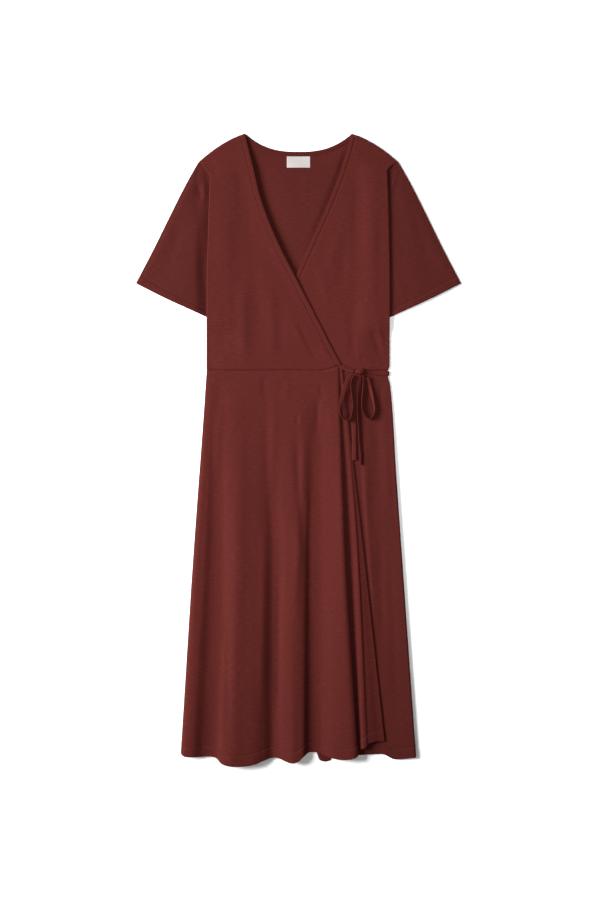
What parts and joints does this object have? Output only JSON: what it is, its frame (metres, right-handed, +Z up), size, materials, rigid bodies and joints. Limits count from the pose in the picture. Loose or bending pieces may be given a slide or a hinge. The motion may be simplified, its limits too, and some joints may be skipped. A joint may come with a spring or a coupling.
{
  "type": "wrap dress",
  "caption": "Short-sleeved midi wrap dress of plain jersey, laid flat front up, with a crossed V neck, a waist seam, a flared skirt and its side tie in a bow.",
  "frame": {"origin": "on the surface that the dress lies on, at the middle of its width and length", "axes": "+X to the viewer's right, +Y from the hem to the neck, +Z up from the surface, out of the dress's front"},
  "size_m": [0.6168, 1.1999, 0.02],
  "materials": {
    "jersey": "fine plain jersey, soft and matt, dark red-brown",
    "label_tape": "woven satin tape, off-white, bare"
  },
  "bodies": {
    "root": {"back_bodice": "jersey", "back_skirt": "jersey", "front_bodice_under": "jersey", "front_bodice_over": "jersey", "front_skirt_under": "jersey", "front_skirt_over": "jersey", "sleeve_left": "jersey", "sleeve_right": "jersey", "binding_back_neck": "jersey", "binding_front_under": "jersey", "binding_front_over": "jersey", "neck_label": "label_tape", "tie_front_strand": "jersey", "tie_side_strand": "jersey", "tie_loop_left": "jersey", "tie_loop_right": "jersey", "tie_tail_left": "jersey", "tie_tail_right": "jersey", "tie_knot": "jersey"}
  },
  "joints": []
}
